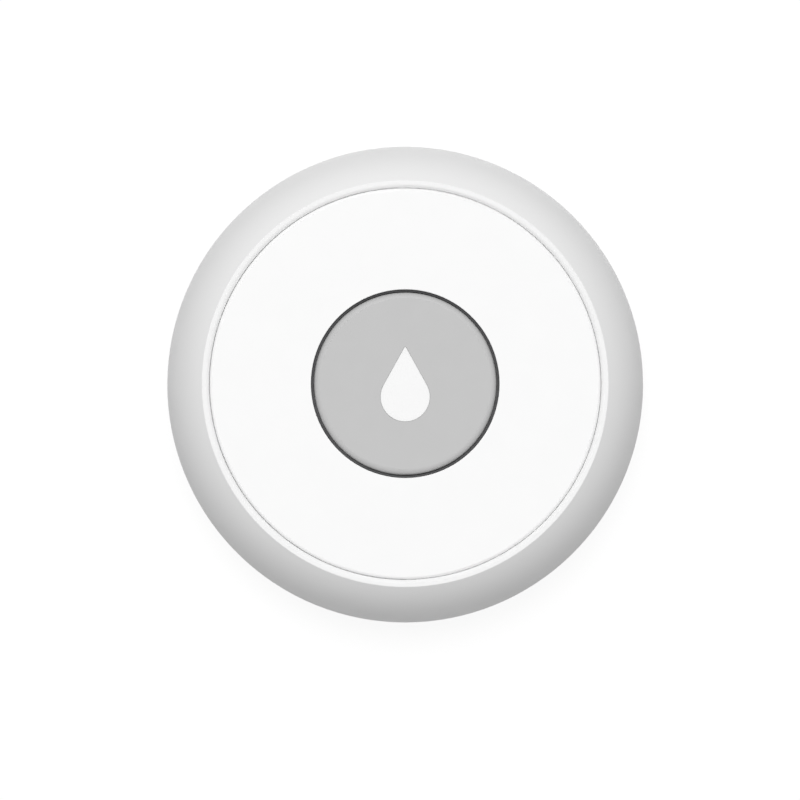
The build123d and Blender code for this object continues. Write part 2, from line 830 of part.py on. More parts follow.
with BuildPart() as switch_terminals:
    with Locations((0, -switch_offset, board_top_z)):
        with GridLocations(switch_width + terminal_length, terminal_spread, 2, 2):
            Box(terminal_length, terminal_width, terminal_thickness, align=STAND)
switch_terminals.part.label = "switch_terminals"
export_step(switch_terminals.part, "parts/switch_terminals.step")


# Status lamp: surface-mount light under the stem of the light guide
lamp_length = 3.0
lamp_width = 2.6
lamp_dome_radius = 1.0
lamp_body_share = 0.6

with BuildPart() as status_lamp:
    with Locations(Plane.XY.offset(board_top_z)):
        Box(lamp_length, lamp_width, lamp_height * lamp_body_share, align=STAND)
        Cylinder(lamp_dome_radius, lamp_height, align=STAND)
    fillet(status_lamp.edges().group_by(Axis.Z)[-1], lamp_height * (1 - lamp_body_share) / 2)
status_lamp.part.label = "status_lamp"
export_step(status_lamp.part, "parts/status_lamp.step")


# Sounder: round case with a sound hole and a brass disc on its inner ledge
sounder_room = 0.85
sounder_height = 3.0
sounder_wall = 0.5
sounder_hole_radius = 1.2
sounder_ledge = 0.6
sounder_ledge_height = 1.0
sounder_disc_thickness = 0.2
sounder_angle = 135
part_circle_radius = (well_outer_radius + board_radius) / 2
part_room = board_radius - well_outer_radius
sounder_radius = part_room / 2 - sounder_room
sounder_x = part_circle_radius * cos(radians(sounder_angle))
sounder_y = part_circle_radius * sin(radians(sounder_angle))
sounder_bore = sounder_radius - sounder_wall
ledge_z = board_top_z + sounder_ledge_height

with BuildPart() as sounder_case:
    with Locations((sounder_x, sounder_y, board_top_z)):
        Cylinder(sounder_radius, sounder_height, align=STAND)
    fillet(sounder_case.edges().group_by(Axis.Z)[-1], sounder_wall / 2)
    with Locations((sounder_x, sounder_y, board_top_z)):
        Cylinder(
            sounder_bore - sounder_ledge, sounder_height - sounder_wall,
            align=STAND, mode=Mode.SUBTRACT,
        )
        Cylinder(sounder_hole_radius, sounder_height, align=STAND, mode=Mode.SUBTRACT)
    with Locations((sounder_x, sounder_y, ledge_z)):
        Cylinder(
            sounder_bore, sounder_height - sounder_wall - sounder_ledge_height,
            align=STAND, mode=Mode.SUBTRACT,
        )
sounder_case.part.label = "sounder_case"
export_step(sounder_case.part, "parts/sounder_case.step")

with BuildPart() as sounder_disc:
    with Locations((sounder_x, sounder_y, ledge_z)):
        Cylinder(sounder_bore - seat_gap, sounder_disc_thickness, align=STAND)
sounder_disc.part.label = "sounder_disc"
export_step(sounder_disc.part, "parts/sounder_disc.step")


# Radio module: small board with a shielding can, its chip and a folded antenna track
module_room = 1.45
module_width = 14.6
module_thickness = 0.8
shield_margin = 0.4
shield_width = 9.4
shield_height = 1.7
shield_wall = 0.2
shield_round = 0.5
chip_share = 2 / 3
chip_height = 0.9
antenna_track_share = 7 / 16
antenna_height = 0.1
antenna_step_share = 2 / 21
antenna_turns = 4
antenna_margin = 0.7
module_angle = 45
module_edge = 0.5
module_length = part_room - 2 * module_room
shield_length = module_length - 2 * shield_margin
chip_size = (shield_length - 2 * shield_wall) * chip_share
antenna_step = module_length * antenna_step_share
antenna_track = antenna_step * antenna_track_share
module_x = part_circle_radius * cos(radians(module_angle))
module_y = part_circle_radius * sin(radians(module_angle))
module_plane = Plane(
    origin=(module_x, module_y, board_top_z),
    x_dir=(module_x, module_y, 0),
    z_dir=(0, 0, 1),
)
module_top = module_plane.offset(module_thickness)
shield_y = module_edge + (shield_width - module_width) / 2
antenna_y = module_width / 2 - antenna_margin

with BuildPart() as radio_board:
    with BuildSketch(module_plane):
        Rectangle(module_length, module_width)
    extrude(amount=module_thickness)
radio_board.part.label = "radio_board"
export_step(radio_board.part, "parts/radio_board.step")

with BuildPart() as radio_shield:
    with BuildSketch(module_top):
        with Locations((0, shield_y)):
            RectangleRounded(shield_length, shield_width, shield_round)
    extrude(amount=shield_height)
    fillet(radio_shield.faces().sort_by(Axis.Z)[-1].edges(), shield_wall)
    with BuildSketch(module_top):
        with Locations((0, shield_y)):
            Rectangle(shield_length - 2 * shield_wall, shield_width - 2 * shield_wall)
    extrude(amount=shield_height - shield_wall, mode=Mode.SUBTRACT)
radio_shield.part.label = "radio_shield"
export_step(radio_shield.part, "parts/radio_shield.step")

with BuildPart() as radio_chip:
    with BuildSketch(module_top):
        with Locations((0, shield_y)):
            Rectangle(chip_size, chip_size)
    extrude(amount=chip_height)
radio_chip.part.label = "radio_chip"
export_step(radio_chip.part, "parts/radio_chip.step")

antenna_low = shield_y + shield_width / 2 + antenna_margin
antenna_x = -antenna_step * (antenna_turns - 0.5)
antenna_points = [(antenna_x, antenna_low)]
for turn in range(antenna_turns):
    left = antenna_x + 2 * turn * antenna_step
    antenna_points += [(left, antenna_y), (left + antenna_step, antenna_y)]
    antenna_points += [(left + antenna_step, antenna_low)]
    if turn < antenna_turns - 1:
        antenna_points += [(left + 2 * antenna_step, antenna_low)]

with BuildPart() as antenna:
    with BuildSketch(module_top):
        with BuildLine():
            Polyline(*antenna_points)
        trace(line_width=antenna_track)
    extrude(amount=antenna_height)
antenna.part.label = "antenna"
export_step(antenna.part, "parts/antenna.step")


# Sensing chip with its leads, the crystal can and the row of small capacitors
sense_length = 4.9
sense_width = 3.9
sense_height = 1.4
sense_lift = 0.15
sense_angle = 225
sense_round = 0.3
lead_pitch = 1.27
lead_width = 0.4
lead_reach = 1.0
lead_thickness = 0.2
lead_rows = 4
sense_edge = 5.65
sense_radius = board_radius - sense_edge
sense_x = sense_radius * cos(radians(sense_angle))
sense_y = sense_radius * sin(radians(sense_angle))
crystal_length = 3.2
crystal_width = 2.5
crystal_height = 0.8
crystal_round = 0.4
crystal_angle = 315
capacitor_length = 1.6
capacitor_width = 0.8
capacitor_end = 0.3
capacitor_proud = 0.05
capacitor_count = 7
capacitor_pitch_angle = 5
capacitor_edge = 2.3
crystal_spacing = 3.35
capacitor_circle_radius = board_radius - capacitor_edge
crystal_circle_radius = capacitor_circle_radius - crystal_spacing
crystal_x = crystal_circle_radius * cos(radians(crystal_angle))
crystal_y = crystal_circle_radius * sin(radians(crystal_angle))
capacitor_start_angle = crystal_angle - capacitor_pitch_angle * (capacitor_count - 1) / 2

with BuildPart() as sense_chip:
    with Locations((sense_x, sense_y, board_top_z + sense_lift)):
        Box(sense_width, sense_length, sense_height, align=STAND)
    fillet(sense_chip.edges().group_by(Axis.Z)[-1], sense_round)
sense_chip.part.label = "sense_chip"
export_step(sense_chip.part, "parts/sense_chip.step")

with BuildPart() as sense_lead:
    with BuildSketch(Plane.XZ):
        with BuildLine():
            Polyline(
                (sense_width / 2, board_top_z + sense_lift + sense_height / 2),
                (sense_width / 2 + lead_reach / 3, board_top_z + sense_lift + sense_height / 2),
                (sense_width / 2 + lead_reach / 2, board_top_z + lead_thickness / 2),
                (sense_width / 2 + lead_reach, board_top_z + lead_thickness / 2),
            )
        trace(line_width=lead_thickness)
    extrude(amount=lead_width / 2, both=True)
    split(bisect_by=Plane.YZ.offset(sense_width / 2), keep=Keep.TOP)

with BuildPart() as sense_leads:
    with Locations((sense_x, sense_y)):
        with GridLocations(0, lead_pitch, 1, lead_rows):
            add(sense_lead.part)
            with PolarLocations(0, 1, start_angle=180):
                add(sense_lead.part)
sense_leads.part.label = "sense_chip_leads"
export_step(sense_leads.part, "parts/sense_chip_leads.step")

with BuildPart() as crystal:
    with Locations((crystal_x, crystal_y, board_top_z)):
        Box(crystal_length, crystal_width, crystal_height, align=STAND)
    fillet(crystal.edges().filter_by(Axis.Z), crystal_round)
crystal.part.label = "crystal"
export_step(crystal.part, "parts/crystal.step")

with BuildPart() as capacitors:
    with Locations(Plane.XY.offset(board_top_z)):
        with PolarLocations(
            capacitor_circle_radius, capacitor_count, start_angle=capacitor_start_angle,
            angular_range=capacitor_pitch_angle * capacitor_count,
        ):
            Box(capacitor_length, capacitor_width, capacitor_width, align=STAND)
            with GridLocations(capacitor_length - capacitor_end, 0, 2, 1):
                Box(
                    capacitor_end, capacitor_width + 2 * capacitor_proud,
                    capacitor_width + capacitor_proud, align=STAND,
                )
capacitors.part.label = "capacitors"
export_step(capacitors.part, "parts/capacitors.step")


# Probe feet: domed steel studs, each with a rubber ring over its head and a brass nut inside
probe_dome = 0.9

with BuildPart() as probe:
    with BuildSketch(Plane.XZ):
        with BuildLine():
            dome = EllipticalCenterArc(
                (probe_flat_radius, probe_dome), probe_head_radius - probe_flat_radius, probe_dome,
                start_angle=270, arc_size=90,
            )
            Polyline(
                dome @ 1,
                (probe_head_radius, foot_height),
                (probe_shank_radius, foot_height),
                (probe_shank_radius, probe_tip_z),
                (0, probe_tip_z),
                (0, 0),
                dome @ 0,
            )
        make_face()
    revolve(axis=Axis.Z)

with BuildPart() as probe_feet:
    with PolarLocations(probe_circle_radius, probe_count, start_angle=probe_start_angle):
        add(probe.part)
probe_feet.part.label = "probe_feet"
export_step(probe_feet.part, "parts/probe_feet.step")

with BuildPart() as probe_rings:
    with BuildSketch(Plane.XY.offset(underside_z)):
        with PolarLocations(probe_circle_radius, probe_count, start_angle=probe_start_angle):
            Circle(probe_pocket_radius - part_gap)
            Circle(probe_shank_radius + part_gap, mode=Mode.SUBTRACT)
    extrude(amount=probe_ring_section)
probe_rings.part.label = "probe_rings"
export_step(probe_rings.part, "parts/probe_rings.step")

with BuildPart() as probe_nuts:
    with BuildSketch(Plane.XY.offset(probe_boss_top_z)):
        with PolarLocations(probe_circle_radius, probe_count, start_angle=probe_start_angle):
            RegularPolygon(nut_flats / 2, 6, major_radius=False)
            Circle(probe_shank_radius + seat_gap, mode=Mode.SUBTRACT)
    extrude(amount=nut_height)
probe_nuts.part.label = "probe_nuts"
export_step(probe_nuts.part, "parts/probe_nuts.step")


# Spring pins: sprung plungers under the board that press on the probe studs
pin_barrel_radius = 0.9
pin_tip_radius = 0.5
pin_tip_share = 0.4

with BuildPart() as spring_pins:
    with Locations(Plane.XY.offset(board_z)):
        with PolarLocations(probe_circle_radius, probe_count, start_angle=probe_start_angle):
            Cylinder(pin_barrel_radius, (board_z - probe_tip_z) * (1 - pin_tip_share), align=HANG)
            Cylinder(pin_tip_radius, board_z - probe_tip_z, align=HANG)
spring_pins.part.label = "spring_pins"
export_step(spring_pins.part, "parts/spring_pins.step")
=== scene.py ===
import json
from math import cos, pi, radians, sin, tau

import bmesh
import bpy
from mathutils import Matrix, Vector


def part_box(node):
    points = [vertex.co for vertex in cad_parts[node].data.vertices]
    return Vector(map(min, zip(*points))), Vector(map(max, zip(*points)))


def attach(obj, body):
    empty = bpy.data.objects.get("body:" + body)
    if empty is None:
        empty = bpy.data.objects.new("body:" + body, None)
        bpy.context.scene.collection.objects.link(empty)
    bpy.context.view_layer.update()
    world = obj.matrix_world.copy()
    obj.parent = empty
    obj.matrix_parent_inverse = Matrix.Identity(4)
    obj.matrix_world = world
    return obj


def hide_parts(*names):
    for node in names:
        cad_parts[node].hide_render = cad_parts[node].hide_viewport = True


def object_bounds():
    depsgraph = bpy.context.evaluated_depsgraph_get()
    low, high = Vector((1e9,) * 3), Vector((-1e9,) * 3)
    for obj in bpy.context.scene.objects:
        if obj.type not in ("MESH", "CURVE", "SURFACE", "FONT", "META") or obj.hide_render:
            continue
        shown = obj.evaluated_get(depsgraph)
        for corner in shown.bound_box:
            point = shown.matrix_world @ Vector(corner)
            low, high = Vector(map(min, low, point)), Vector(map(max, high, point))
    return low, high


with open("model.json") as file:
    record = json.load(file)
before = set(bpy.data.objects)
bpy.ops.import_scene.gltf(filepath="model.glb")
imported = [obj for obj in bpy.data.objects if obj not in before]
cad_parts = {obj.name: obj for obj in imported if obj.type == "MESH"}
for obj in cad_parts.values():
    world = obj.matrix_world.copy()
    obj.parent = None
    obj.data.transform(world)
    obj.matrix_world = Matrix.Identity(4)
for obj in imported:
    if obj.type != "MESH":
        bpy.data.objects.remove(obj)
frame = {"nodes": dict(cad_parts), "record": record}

# Water leak sensor, dressed for the studio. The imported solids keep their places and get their
# finishes here. The screws, the thread of the battery cover, its marks, and the small parts
# soldered to the board are modelled here. Lengths are in metres.

cad_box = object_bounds()
mm = 0.001
scene = bpy.context.scene


# Node materials. A pattern is stretched over one of these parts of a noise's range
soft_band = (0.35, 0.65)
wide_band = (0.3, 0.7)
spot_band = (0.45, 0.7)
speck_band = (0.45, 0.75)


def new_material(name, roughness, metallic=0.0, ior=1.46, gloss=0.5):
    """An empty plastic or metal finish: the material, its nodes and its shader."""
    material = bpy.data.materials.new(name)
    material.use_nodes = True
    tree = material.node_tree
    shader = tree.nodes["Principled BSDF"]
    shader.inputs["Roughness"].default_value = roughness
    shader.inputs["Metallic"].default_value = metallic
    shader.inputs["IOR"].default_value = ior
    shader.inputs["Specular IOR Level"].default_value = gloss
    return material, tree, shader


def add_node(tree, kind, **settings):
    """A node with some of its sockets and properties set by name."""
    node = tree.nodes.new(kind)
    for key, value in settings.items():
        socket = node.inputs.get(key.replace("_", " "))
        if socket is None:
            setattr(node, key, value)
        else:
            socket.default_value = value
    return node


def object_place(tree):
    """The socket of a point's place on the object, in metres."""
    return add_node(tree, "ShaderNodeTexCoord").outputs["Object"]


def noise(tree, place, size, detail=2.0, roughness=0.5):
    """Noise whose largest lumps are about size metres across."""
    node = add_node(tree, "ShaderNodeTexNoise", Scale=1 / size, Detail=detail, Roughness=roughness)
    tree.links.new(place, node.inputs["Vector"])
    return node.outputs["Fac"]


def between(tree, value, low, high, start=0.0, end=1.0):
    """A value that goes from low to high while its source goes from start to end."""
    node = tree.nodes.new("ShaderNodeMapRange")
    node.inputs["From Min"].default_value = start
    node.inputs["From Max"].default_value = end
    node.inputs["To Min"].default_value = low
    node.inputs["To Max"].default_value = high
    tree.links.new(value, node.inputs["Value"])
    return node.outputs["Result"]


def vector_maths(tree, operation, vector, other=(0, 0, 0)):
    """A node that works on a vector, with a fixed second one where its operation takes two."""
    node = add_node(tree, "ShaderNodeVectorMath", operation=operation)
    tree.links.new(vector, node.inputs[0])
    node.inputs[1].default_value = other
    return node


def maths(tree, operation, first, second, **settings):
    """A value worked out from two others."""
    node = add_node(tree, "ShaderNodeMath", operation=operation, **settings)
    tree.links.new(first, node.inputs[0])
    tree.links.new(second, node.inputs[1])
    return node.outputs[0]


def mix_colour(tree, factor, first, second):
    """A colour between two, each a colour or a socket."""
    node = tree.nodes.new("ShaderNodeMix")
    node.data_type = "RGBA"
    for key, value in (("A", first), ("B", second)):
        socket = [s for s in node.inputs if s.name == key and s.type == "RGBA"][0]
        if isinstance(value, bpy.types.NodeSocket):
            tree.links.new(value, socket)
        else:
            socket.default_value = (*value, 1)
    tree.links.new(factor, node.inputs["Factor"])
    return [s for s in node.outputs if s.type == "RGBA"][0]


def mix_shaders(tree, factor, first, second):
    """A shader between two."""
    node = tree.nodes.new("ShaderNodeMixShader")
    tree.links.new(factor, node.inputs["Fac"])
    tree.links.new(first.outputs[0], node.inputs[1])
    tree.links.new(second.outputs[0], node.inputs[2])
    return node


def grey_socket(tree, value):
    """A grey colour from a value."""
    node = tree.nodes.new("ShaderNodeCombineColor")
    for channel in ("Red", "Green", "Blue"):
        tree.links.new(value, node.inputs[channel])
    return node.outputs["Color"]


def paint(tree, shader, factor, first, second):
    """Gives a shader a colour between two, each a colour or a socket."""
    tree.links.new(mix_colour(tree, factor, first, second), shader.inputs["Base Color"])


def wear(tree, shader, pattern, first, last):
    """Gives a shader a roughness that goes from first to last as a pattern rises."""
    tree.links.new(between(tree, pattern, first, last, *wide_band), shader.inputs["Roughness"])


def bump(tree, shader, height, distance):
    """Gives a shader relief from a height between 0 and 1, distance metres deep."""
    node = add_node(tree, "ShaderNodeBump", Strength=1.0, Distance=distance)
    tree.links.new(height, node.inputs["Height"])
    tree.links.new(node.outputs["Normal"], shader.inputs["Normal"])


def grey(level):
    """A grey colour."""
    return (level, level, level)


def shade(colour, amount):
    """A colour made lighter or darker by a factor."""
    return tuple(min(1.0, part * amount) for part in colour)


# Moulded plastics
def moulded(name, colour, roughness, grain, depth, cloud=0.985, cloud_size=9 * mm):
    """Moulded plastic: eroded grain of a given size and depth, a faint cloudiness and handling wear."""
    material, tree, shader = new_material(name, roughness, gloss=0.2)
    place = object_place(tree)
    clouds = between(tree, noise(tree, place, cloud_size, 3), 0, 1, *soft_band)
    paint(tree, shader, clouds, shade(colour, cloud), colour)
    wear(tree, shader, noise(tree, place, cloud_size / 3, 4), roughness - 0.04, roughness + 0.05)
    bump(tree, shader, noise(tree, place, grain, 3, 0.6), depth)
    return material


def rubber(name, colour, roughness=0.75):
    """Rubber: a dull skin with fine dust-like speckle."""
    material, tree, shader = new_material(name, roughness, ior=1.5)
    place = object_place(tree)
    speckle = between(tree, noise(tree, place, 0.12 * mm, 2), 0, 1, *speck_band)
    paint(tree, shader, speckle, colour, shade(colour, 1.5))
    bump(tree, shader, noise(tree, place, 0.3 * mm, 4), 0.01 * mm)
    return material


def milky(name, colour, clearness):
    """Silicone or resin: milky, clear to some degree, with a soft orange-peel skin."""
    material, tree, shader = new_material(name, 0.38, ior=1.41)
    place = object_place(tree)
    haze = between(tree, noise(tree, place, 1.5 * mm, 2), 0, 1, *soft_band)
    paint(tree, shader, haze, shade(colour, 0.95), colour)
    shader.inputs["Transmission Weight"].default_value = clearness
    bump(tree, shader, noise(tree, place, 0.6 * mm, 2), 0.01 * mm)
    return material


def light_guide(name, colour):
    """Milky light guide: smooth, with a little light going into it."""
    material, tree, shader = new_material(name, 0.32, ior=1.49, gloss=0.35)
    place = object_place(tree)
    haze = between(tree, noise(tree, place, 2.5 * mm, 2), 0, 1, *soft_band)
    paint(tree, shader, haze, shade(colour, 0.99), colour)
    shader.inputs["Subsurface Weight"].default_value = 0.15
    shader.inputs["Subsurface Radius"].default_value = (1, 1, 1)
    shader.inputs["Subsurface Scale"].default_value = 0.6 * mm
    bump(tree, shader, noise(tree, place, 0.35 * mm, 2), 0.002 * mm)
    return material


# Metals
def plated(name, colour, roughness, grain=0.25 * mm, stain=0.9, depth=0.004 * mm):
    """Plated or tumbled metal: a fine matt tooth, dulled in clouds."""
    material, tree, shader = new_material(name, roughness, metallic=1.0)
    place = object_place(tree)
    clouds = between(tree, noise(tree, place, 2.2 * mm, 4, 0.6), 0, 1, *soft_band)
    paint(tree, shader, clouds, shade(colour, stain), colour)
    wear(tree, shader, noise(tree, place, 0.8 * mm, 3), roughness - 0.03, roughness + 0.05)
    bump(tree, shader, noise(tree, place, grain, 3), depth)
    return material


def turned(name, colour, roughness, circle, pitch, depth):
    """Turned metal: fine rings round the four axes that stand on a circle, one in each quarter."""
    material, tree, shader = new_material(name, roughness, metallic=1.0)
    place = object_place(tree)
    axis_place = circle * cos(radians(45))
    folded = vector_maths(tree, "ABSOLUTE", place)
    centred = vector_maths(tree, "SUBTRACT", folded.outputs[0], (axis_place, axis_place, 0))
    flat = vector_maths(tree, "MULTIPLY", centred.outputs[0], (1, 1, 0))
    radius = vector_maths(tree, "LENGTH", flat.outputs[0])
    ring = add_node(tree, "ShaderNodeTexNoise", noise_dimensions="1D", Scale=1 / pitch, Detail=3.0)
    tree.links.new(radius.outputs["Value"], ring.inputs["W"])
    rub = between(tree, noise(tree, place, 0.9 * mm, 4, 0.6), 0, 1, *soft_band)
    rubbed = mix_colour(tree, rub, shade(colour, 0.9), colour)
    lines = between(tree, ring.outputs["Fac"], 0, 1, 0.35, 0.6)
    paint(tree, shader, lines, shade(colour, 0.62), rubbed)
    wear(tree, shader, ring.outputs["Fac"], roughness + 0.1, roughness - 0.04)
    bump(tree, shader, ring.outputs["Fac"], depth)
    return material


# Electronics
def tracks(tree, place, direction, pitch):
    """Parallel lines one pitch apart: 1 on a line, 0 beside it."""
    waves_per_unit = 20 / tau
    wave = add_node(
        tree, "ShaderNodeTexWave", bands_direction=direction, Scale=1 / (pitch * waves_per_unit),
    )
    tree.links.new(place, wave.inputs["Vector"])
    return between(tree, wave.outputs["Fac"], 0, 1, 0.7, 0.8)


def copper_pattern(tree, place, block, pitch):
    """Blocks of tracks one way or the other, and filled areas: 1 on copper, 0 beside it."""
    blocks = add_node(tree, "ShaderNodeTexVoronoi", distance="CHEBYCHEV", Scale=1 / block, Randomness=0.6)
    tree.links.new(place, blocks.inputs["Vector"])
    kind = tree.nodes.new("ShaderNodeSeparateColor")
    tree.links.new(blocks.outputs["Color"], kind.inputs["Color"])
    across = between(tree, kind.outputs["Red"], 0, 1, 0.44, 0.45)
    filled = between(tree, kind.outputs["Green"], 0, 1, 0.69, 0.7)
    line_x = grey_socket(tree, tracks(tree, place, "X", pitch))
    line_y = grey_socket(tree, tracks(tree, place, "Y", pitch))
    lines = mix_colour(tree, across, line_x, line_y)
    level = tree.nodes.new("ShaderNodeRGBToBW")
    tree.links.new(mix_colour(tree, filled, lines, grey(1)), level.inputs["Color"])
    return level.outputs["Val"]


def board_mask(name, colour, copper, block, pitch):
    """Solder mask over copper tracks and filled areas, with via holes painted as dark dots of shade."""
    material, tree, shader = new_material(name, 0.32, ior=1.52)
    place = object_place(tree)
    level = copper_pattern(tree, place, block, pitch)
    vias = add_node(tree, "ShaderNodeTexVoronoi", Scale=1 / (pitch * 3), Randomness=0.5)
    tree.links.new(place, vias.inputs["Vector"])
    # The via holes are spots of painted shade, darkened in colour, not modelled holes
    hole = between(tree, vias.outputs["Distance"], 1, 0, 0.1, 0.12)
    cloud = between(tree, noise(tree, place, block, 3), 0, 1, *wide_band)
    mask = mix_colour(tree, cloud, shade(colour, 0.85), colour)
    covered = mix_colour(tree, level, mask, copper)
    paint(tree, shader, hole, covered, shade(colour, 0.4))
    bump(tree, shader, level, 0.03 * mm)
    return material


def speckled(name, colour, spot, size, roughness):
    """Pressed powder, epoxy or ceramic: small spots of a second colour and a dry tooth."""
    material, tree, shader = new_material(name, roughness, ior=1.5)
    place = object_place(tree)
    spots = between(tree, noise(tree, place, size, 3), 0, 1, *spot_band)
    paint(tree, shader, spots, colour, spot)
    bump(tree, shader, noise(tree, place, size / 2, 3), 0.008 * mm)
    return material


# The finish of each slot. The probe feet are turned round their own axes
probe_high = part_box("probe_feet")[1]
probe_head_radius = 3.0 * mm
probe_circle = (max(probe_high.x, probe_high.y) - probe_head_radius) / cos(radians(45))

finishes = {
    "shell_white": moulded(
        "shell white", grey(0.89), roughness=0.46, grain=0.16 * mm, depth=0.003 * mm, cloud=0.995,
    ),
    "face_white": moulded(
        "face white", grey(0.93), roughness=0.42, grain=0.16 * mm, depth=0.003 * mm, cloud=0.995,
    ),
    "button_grey": moulded(
        "button grey", grey(0.535), roughness=0.45, grain=0.18 * mm, depth=0.003 * mm, cloud=0.99,
    ),
    "base_white": moulded(
        "base white", (0.88, 0.88, 0.875), roughness=0.55, grain=0.28 * mm, depth=0.016 * mm,
    ),
    "cover_white": moulded(
        "cover white", (0.88, 0.88, 0.875), roughness=0.52, grain=0.28 * mm, depth=0.014 * mm,
    ),
    "nylon": moulded(
        "grommet nylon", (0.72, 0.72, 0.68), roughness=0.5, grain=0.2 * mm, depth=0.004 * mm,
    ),
    "switch_black": moulded(
        "black moulding", (0.025, 0.025, 0.027), roughness=0.5, grain=0.15 * mm, depth=0.006 * mm, cloud=0.8,
    ),
    "plunger_grey": moulded(
        "plunger grey", (0.2, 0.2, 0.21), roughness=0.48, grain=0.15 * mm, depth=0.004 * mm, cloud=0.9,
    ),
    "lens_white": light_guide("drop white", grey(0.87)),
    "seal_rubber": rubber("black rubber", (0.047, 0.047, 0.049)),
    "membrane_silicone": milky("membrane silicone", (0.8, 0.8, 0.78), clearness=0.35),
    "gasket_silicone": milky("gasket silicone", (0.3, 0.32, 0.35), clearness=0.0),
    "lamp_resin": milky("lamp resin", (0.85, 0.82, 0.62), clearness=0.5),
    "screw_steel": plated("zinc screw", (0.5, 0.51, 0.53), roughness=0.32),
    "cell_steel": plated(
        "nickel cell", (0.6, 0.595, 0.58), roughness=0.2, grain=0.5 * mm, stain=0.95, depth=0.001 * mm,
    ),
    "contact_nickel": plated(
        "nickel strip", (0.52, 0.505, 0.47), roughness=0.28, stain=0.96, depth=0.002 * mm,
    ),
    "track_gold": plated("gold plate", (0.86, 0.62, 0.26), roughness=0.25),
    "brass": plated("nut brass", (0.74, 0.55, 0.24), roughness=0.3, stain=0.82),
    "probe_steel": turned(
        "probe steel", (0.36, 0.36, 0.37), 0.2, circle=probe_circle, pitch=0.22 * mm, depth=0.012 * mm,
    ),
    "board_green": board_mask(
        "green board", (0.012, 0.12, 0.05), copper=(0.025, 0.2, 0.085), block=5 * mm, pitch=0.7 * mm,
    ),
    "board_blue": board_mask(
        "blue board", (0.01, 0.05, 0.2), copper=(0.02, 0.085, 0.28), block=3 * mm, pitch=0.5 * mm,
    ),
    "cell_powder": speckled(
        "pressed powder", (0.05, 0.05, 0.055), spot=(0.1, 0.1, 0.11), size=0.15 * mm, roughness=0.9,
    ),
    "chip_black": speckled(
        "chip epoxy", (0.02, 0.02, 0.022), spot=(0.05, 0.05, 0.052), size=0.12 * mm, roughness=0.55,
    ),
    "ceramic_tan": speckled(
        "capacitor ceramic", (0.4, 0.28, 0.16), spot=(0.5, 0.37, 0.23), size=0.3 * mm, roughness=0.5,
    ),
}
solder = plated("solder", (0.66, 0.66, 0.68), roughness=0.28, grain=0.4 * mm)


def dress_nodes():
    """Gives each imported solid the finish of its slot."""
    slots = {part["node"]: part["material_slot"] for part in frame["record"]["subparts"]}
    for name, node in frame["nodes"].items():
        node.data.materials.clear()
        node.data.materials.append(finishes[slots[name]])


# New pieces
merge_distance = 0.0005 * mm
sharp_angle = 35


def finish_piece(mesh, name, body, slot, material=None):
    """Turns a bmesh into an outward-facing piece that rides on a body and takes a slot's finish."""
    bmesh.ops.remove_doubles(mesh, verts=mesh.verts, dist=merge_distance)
    bmesh.ops.recalc_face_normals(mesh, faces=mesh.faces)
    data = bpy.data.meshes.new(name)
    mesh.to_mesh(data)
    mesh.free()
    data.shade_smooth()
    data.set_sharp_from_angle(angle=radians(sharp_angle))
    data.materials.append(material or finishes[slot])
    piece = bpy.data.objects.new(name, data)
    scene.collection.objects.link(piece)
    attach(piece, body)
    return piece


def verts_of(geometry):
    """The vertices among what an operator made."""
    return [part for part in geometry if isinstance(part, bmesh.types.BMVert)]


def faces_of(geometry):
    """The faces among what an operator made."""
    return [part for part in geometry if isinstance(part, bmesh.types.BMFace)]


def touching(elements, verts):
    """Those edges or faces whose first vertex is among verts, the vertices of one loose shape."""
    return [element for element in elements if element.verts[0] in verts]


def rim_of(mesh, faces):
    """The edges where a group of faces ends."""
    return [edge for edge in mesh.edges if sum(face in faces for face in edge.link_faces) == 1]


def turn_round_axis(mesh, verts, angle):
    """Turns vertices round the puck's axis."""
    bmesh.ops.rotate(mesh, verts=verts, cent=(0, 0, 0), matrix=Matrix.Rotation(angle, 3, "Z"))


def copies_round(mesh, count):
    """Repeats all of a bmesh count times round the puck's axis."""
    first = mesh.verts[:] + mesh.edges[:] + mesh.faces[:]
    for step in range(1, count):
        copy = bmesh.ops.duplicate(mesh, geom=first)["geom"]
        turn_round_axis(mesh, verts_of(copy), step * tau / count)


def polar(radius, angle):
    """The place at a radius and an angle in degrees round the puck's axis."""
    return Vector((radius * cos(radians(angle)), radius * sin(radians(angle)), 0))


# Thread ridges
ridge_root = 0.12 * mm
ridge_foot_share = 0.9
ridge_crest_share = 0.35
ridge_end_scale = 0.3


def ridge(mesh, radius, height, width, low, lead, sweep, steps):
    """A helical thread ridge that stands out from radius by height, or inwards if that is negative."""
    inner = radius - ridge_root if height > 0 else radius + ridge_root
    foot = width * ridge_foot_share
    crest = width * ridge_crest_share
    profile = [
        (inner, -foot), (radius, -foot), (radius + height, -crest),
        (radius + height, crest), (radius, foot), (inner, foot),
    ]
    verts = [mesh.verts.new((r, 0, low + z)) for r, z in profile]
    face = mesh.faces.new(verts)
    rise = lead * sweep / tau
    made = bmesh.ops.spin(
        mesh, geom=[face, *face.edges, *face.verts], cent=(0, 0, 0), axis=(0, 0, 1),
        dvec=(0, 0, rise / steps), angle=sweep, steps=steps, use_duplicate=False,
    )
    shrink = (ridge_end_scale, ridge_end_scale, ridge_end_scale)
    for ends, angle, z in ((verts, 0.0, low), (verts_of(made["geom_last"]), sweep, low + rise)):
        centre = Vector((inner * cos(angle), inner * sin(angle), z))
        bmesh.ops.scale(mesh, vec=shrink, space=Matrix.Translation(-centre), verts=ends)


# Case screws: pan heads with a cross recess, and a coarse thread in the posts
screw_low, screw_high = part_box("case_screws")
screw_count = 4
screw_head_radius = 2.4 * mm
screw_circle = screw_high.x - screw_head_radius
screw_core = 0.92 * mm
screw_major = 1.18 * mm
screw_seat = 3.4 * mm
screw_face = screw_low.z
screw_tip = screw_high.z
screw_angle = 20
screw_segments = 48
